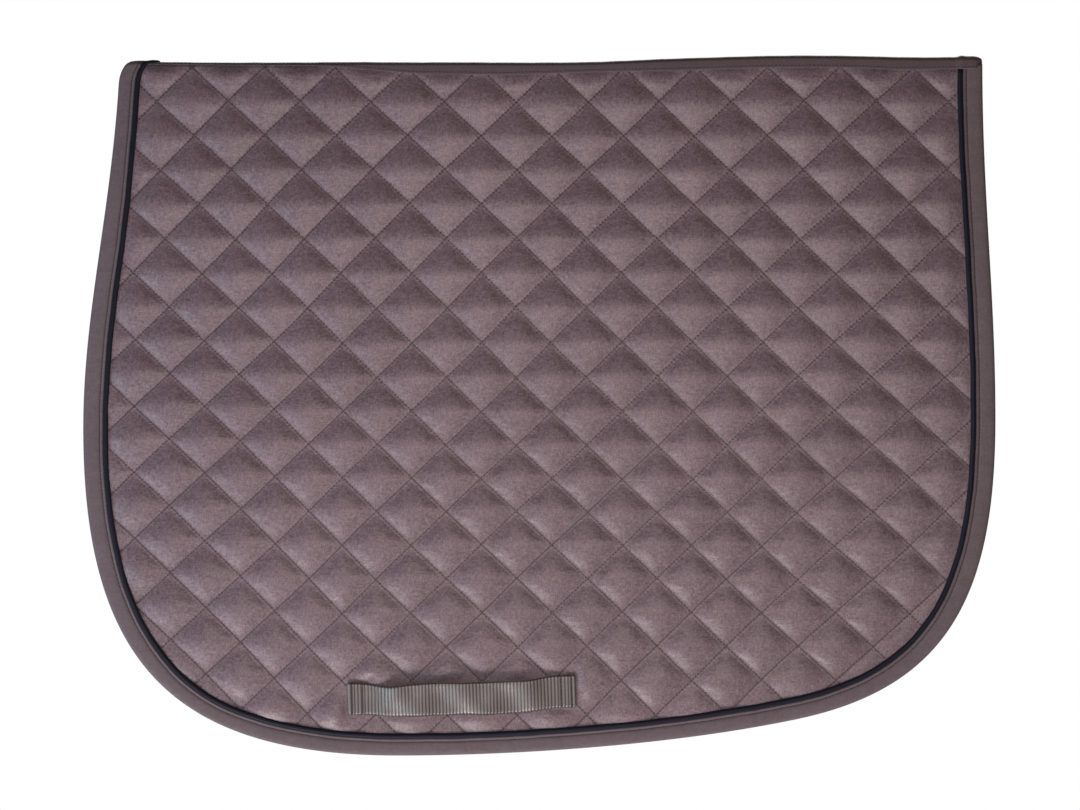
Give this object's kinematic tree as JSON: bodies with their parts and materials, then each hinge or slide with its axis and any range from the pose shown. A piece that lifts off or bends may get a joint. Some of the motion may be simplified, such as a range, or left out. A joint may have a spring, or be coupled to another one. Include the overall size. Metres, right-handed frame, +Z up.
{
  "type": "saddle pad",
  "caption": "Quilted general-purpose saddle pad folded over its spine seam, with bound and piped edges and a webbing girth keeper on each flap.",
  "frame": {"origin": "middle of the spine fold, on the line both flaps swing about, where the pad hangs on a horse's back or a rail", "axes": "+X along the spine towards the tail, -X to the withers; -Y out of the near (left) flap, +Y out of the off flap; +Z up"},
  "size_m": [0.7, 0.027, 0.538],
  "materials": {
    "shell_satin": "poly-cotton with a satin face, diamond quilted",
    "lining_cotton": "matt cotton lining and inner tape",
    "wadding_fibre": "white polyester wadding",
    "binding_cotton": "matt woven binding and spine tape",
    "piping_navy": "navy-black satin piping cover",
    "cord_cotton": "undyed cotton piping cord",
    "webbing_grey": "ribbed polypropylene webbing with a sheen",
    "thread_taupe": "polyester sewing thread"
  },
  "bodies": {
    "spine": {"spine_tape_crown": "binding_cotton", "spine_lining_tape_crown": "lining_cotton", "spine_seam_thread": "thread_taupe", "front_binding_crown": "binding_cotton", "front_piping_crown": "piping_navy"},
    "near_flap": {"near_outer_shell": "shell_satin", "near_wadding": "wadding_fibre", "near_lining": "lining_cotton", "near_piping_cover": "piping_navy", "near_piping_cord": "cord_cotton", "near_edge_binding": "binding_cotton", "near_binding_thread": "thread_taupe", "near_spine_tape": "binding_cotton", "near_lining_tape": "lining_cotton", "near_spine_tape_thread": "thread_taupe", "near_keeper_front_end": "webbing_grey", "near_keeper_rear_end": "webbing_grey", "near_keeper_front_thread": "thread_taupe", "near_keeper_rear_thread": "thread_taupe"},
    "near_keeper": {"near_keeper_span": "webbing_grey"},
    "off_flap": {"off_outer_shell": "shell_satin", "off_wadding": "wadding_fibre", "off_lining": "lining_cotton", "off_piping_cover": "piping_navy", "off_piping_cord": "cord_cotton", "off_edge_binding": "binding_cotton", "off_binding_thread": "thread_taupe", "off_spine_tape": "binding_cotton", "off_lining_tape": "lining_cotton", "off_spine_tape_thread": "thread_taupe", "off_keeper_front_end": "webbing_grey", "off_keeper_rear_end": "webbing_grey", "off_keeper_front_thread": "thread_taupe", "off_keeper_rear_thread": "thread_taupe"},
    "off_keeper": {"off_keeper_span": "webbing_grey"}
  },
  "joints": [
    {"name": "near_flap_fold", "type": "hinge", "parent": "spine", "child": "near_flap", "pos_m": [0, 0, 0], "axis": [-1, 0, 0], "range_deg": [0, 90]},
    {"name": "off_flap_fold", "type": "hinge", "parent": "spine", "child": "off_flap", "pos_m": [0, 0, 0], "axis": [1, 0, 0], "range_deg": [0, 90]},
    {"name": "near_keeper_bow", "type": "slide", "parent": "near_flap", "child": "near_keeper", "axis": [0, -1, 0], "range_m": [0, 0.012], "stiffness_N_per_m": 5},
    {"name": "off_keeper_bow", "type": "slide", "parent": "off_flap", "child": "off_keeper", "axis": [0, 1, 0], "range_m": [0, 0.012], "stiffness_N_per_m": 5}
  ]
}
